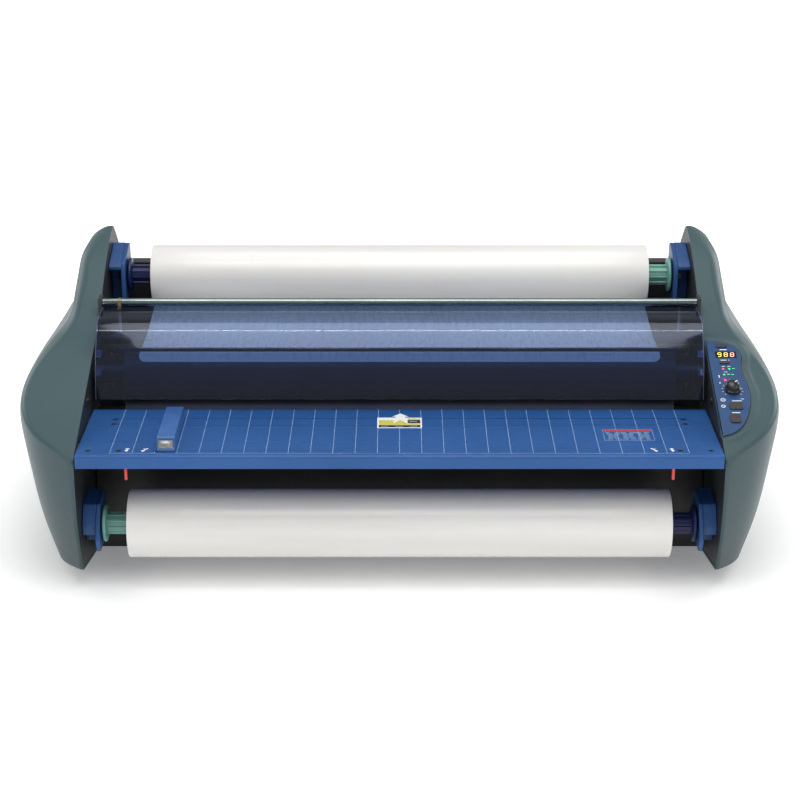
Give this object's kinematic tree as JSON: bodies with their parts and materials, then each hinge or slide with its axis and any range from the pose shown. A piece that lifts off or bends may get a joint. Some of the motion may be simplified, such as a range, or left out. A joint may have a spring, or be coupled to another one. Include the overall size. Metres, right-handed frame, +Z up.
{
  "type": "roll laminator",
  "caption": "Tabletop roll laminator: two curved side covers, feed tray with edge guide, clear hinged shield, heated and pull rollers, and film rolls above and below.",
  "frame": {"origin": "middle of the footprint, on the surface the feet stand on", "axes": "+X to the operator's right, along the rollers; +Y from the feed side to the exit side; +Z up"},
  "size_m": [0.9056, 0.4993, 0.346],
  "materials": {
    "cover_plastic": "fine texture",
    "frame_steel": "satin black",
    "pan_steel": "satin black",
    "tray_blue": "satin",
    "arm_blue": "semi-gloss",
    "film": "semi-gloss wound film",
    "core_card": "plain",
    "plug_blue": "satin",
    "plug_green": "satin",
    "shield_clear": "smoked blue polycarbonate",
    "chrome": "polished",
    "steel": "ground",
    "silicone": "satin",
    "gear_plastic": "moulded",
    "bronze": "sintered",
    "panel_blue": "overlay film",
    "key_black": "satin",
    "display_dark": "gloss",
    "lamp": "lit",
    "board_green": "solder mask",
    "quartz": "clear",
    "rubber_black": "matte",
    "zinc": "plated",
    "marker_red": "satin",
    "guide_blue": "gloss"
  },
  "bodies": {
    "chassis": {"left_side_cover": "cover_plastic", "right_side_cover": "cover_plastic", "left_side_frame": "frame_steel", "right_side_frame": "frame_steel", "base_pan": "pan_steel", "front_lower_panel": "pan_steel", "rear_panel": "pan_steel", "rear_bridge": "tray_blue", "cross_rods": "chrome", "hinge_brackets": "pan_steel", "rubber_feet": "rubber_black", "frame_screws": "zinc", "drive_motor": "zinc", "fan_frames": "key_black", "power_inlet": "key_black", "power_supply": "zinc", "tube_heaters": "quartz", "roller_bearings": "bronze", "upper_left_roll_arm": "arm_blue", "upper_right_roll_arm": "arm_blue", "lower_left_roll_arm": "arm_blue", "lower_right_roll_arm": "arm_blue", "control_panel": "panel_blue", "display_window": "display_dark", "status_lamps": "lamp", "control_board": "board_green"},
    "feed_tray": {"feed_tray": "tray_blue", "film_markers": "marker_red"},
    "edge_guide": {"edge_guide": "guide_blue"},
    "heat_shield": {"heat_shield": "shield_clear", "shield_rod": "chrome"},
    "upper_film_roll": {"upper_film": "film", "upper_core": "core_card", "upper_left_plug": "plug_blue", "upper_right_plug": "plug_green"},
    "lower_film_roll": {"lower_film": "film", "lower_core": "core_card", "lower_left_plug": "plug_green", "lower_right_plug": "plug_blue"},
    "upper_heat_roller": {"upper_heat_roller": "steel", "upper_heat_sleeve": "silicone", "upper_heat_gear": "gear_plastic"},
    "lower_heat_roller": {"lower_heat_roller": "steel", "lower_heat_sleeve": "silicone", "lower_heat_gear": "gear_plastic"},
    "upper_pull_roller": {"upper_pull_roller": "silicone", "upper_pull_gear": "gear_plastic"},
    "lower_pull_roller": {"lower_pull_roller": "silicone", "lower_pull_gear": "gear_plastic"},
    "transfer_gear": {"transfer_gear": "gear_plastic"},
    "motor_pinion": {"motor_pinion": "steel"},
    "left_fan_rotor": {"left_fan_rotor": "key_black"},
    "right_fan_rotor": {"right_fan_rotor": "key_black"},
    "speed_knob": {"speed_knob": "key_black"},
    "menu_key": {"menu_key": "key_black"},
    "heat_key": {"heat_key": "key_black"},
    "run_key": {"run_key": "key_black"},
    "stop_key": {"stop_key": "key_black"},
    "power_rocker": {"power_rocker": "key_black"}
  },
  "joints": [
    {"name": "tray_slide_off", "type": "slide", "parent": "chassis", "child": "feed_tray", "axis": [0, -1, 0], "range_m": [0, 0.17]},
    {"name": "guide_slide", "type": "slide", "parent": "feed_tray", "child": "edge_guide", "axis": [1, 0, 0], "range_m": [-0.085, 0.235]},
    {"name": "shield_hinge", "type": "hinge", "parent": "chassis", "child": "heat_shield", "pos_m": [0, 0, 0.2875], "axis": [-1, 0, 0], "range_deg": [0, 95]},
    {"name": "upper_roll_spin", "type": "hinge", "parent": "chassis", "child": "upper_film_roll", "pos_m": [0, 0.116, 0.289], "axis": [1, 0, 0], "continuous": true},
    {"name": "lower_roll_spin", "type": "hinge", "parent": "chassis", "child": "lower_film_roll", "pos_m": [0, -0.1927, 0.0748], "axis": [1, 0, 0], "continuous": true},
    {"name": "lower_heat_spin", "type": "hinge", "parent": "chassis", "child": "lower_heat_roller", "pos_m": [0, -0.049, 0.156], "axis": [1, 0, 0], "continuous": true},
    {"name": "upper_heat_spin", "type": "hinge", "parent": "chassis", "child": "upper_heat_roller", "pos_m": [0, -0.049, 0.212], "axis": [1, 0, 0], "continuous": true},
    {"name": "lower_pull_spin", "type": "hinge", "parent": "chassis", "child": "lower_pull_roller", "pos_m": [0, 0.081, 0.163], "axis": [1, 0, 0], "continuous": true},
    {"name": "upper_pull_spin", "type": "hinge", "parent": "chassis", "child": "upper_pull_roller", "pos_m": [0, 0.081, 0.205], "axis": [1, 0, 0], "continuous": true},
    {"name": "transfer_gear_spin", "type": "hinge", "parent": "chassis", "child": "transfer_gear", "pos_m": [0, 0.01991, 0.15243], "axis": [1, 0, 0], "continuous": true},
    {"name": "motor_pinion_spin", "type": "hinge", "parent": "chassis", "child": "motor_pinion", "pos_m": [0, 0.01991, 0.09543], "axis": [1, 0, 0], "continuous": true},
    {"name": "left_fan_spin", "type": "hinge", "parent": "chassis", "child": "left_fan_rotor", "pos_m": [-0.15, 0.206, 0.1], "axis": [0, 1, 0], "continuous": true},
    {"name": "right_fan_spin", "type": "hinge", "parent": "chassis", "child": "right_fan_rotor", "pos_m": [0.15, 0.206, 0.1], "axis": [0, 1, 0], "continuous": true},
    {"name": "speed_knob_turn", "type": "hinge", "parent": "chassis", "child": "speed_knob", "pos_m": [0.3934, -0.1345, 0.21929], "axis": [0, -0.355, 0.9349], "range_deg": [-140, 140]},
    {"name": "power_rocker_tilt", "type": "hinge", "parent": "chassis", "child": "power_rocker", "pos_m": [0.31, 0.222, 0.078], "axis": [1, 0, 0], "range_deg": [0, 16]},
    {"name": "menu_key_press", "type": "slide", "parent": "chassis", "child": "menu_key", "axis": [0, 0.355, -0.9349], "range_m": [0, 0.001], "stiffness_N_per_m": 300},
    {"name": "heat_key_press", "type": "slide", "parent": "chassis", "child": "heat_key", "axis": [0, 0.355, -0.9349], "range_m": [0, 0.001], "stiffness_N_per_m": 300},
    {"name": "run_key_press", "type": "slide", "parent": "chassis", "child": "run_key", "axis": [0, 0.355, -0.9349], "range_m": [0, 0.001], "stiffness_N_per_m": 300},
    {"name": "stop_key_press", "type": "slide", "parent": "chassis", "child": "stop_key", "axis": [0, 0.355, -0.9349], "range_m": [0, 0.001], "stiffness_N_per_m": 300}
  ],
  "couplings": [
    {"joint": "upper_heat_spin", "follows": "lower_heat_spin", "ratio": -1},
    {"joint": "transfer_gear_spin", "follows": "lower_heat_spin", "ratio": -0.68293},
    {"joint": "lower_pull_spin", "follows": "lower_heat_spin", "ratio": 1.3333},
    {"joint": "upper_pull_spin", "follows": "lower_heat_spin", "ratio": -1.3333},
    {"joint": "motor_pinion_spin", "follows": "lower_heat_spin", "ratio": 1.75}
  ]
}
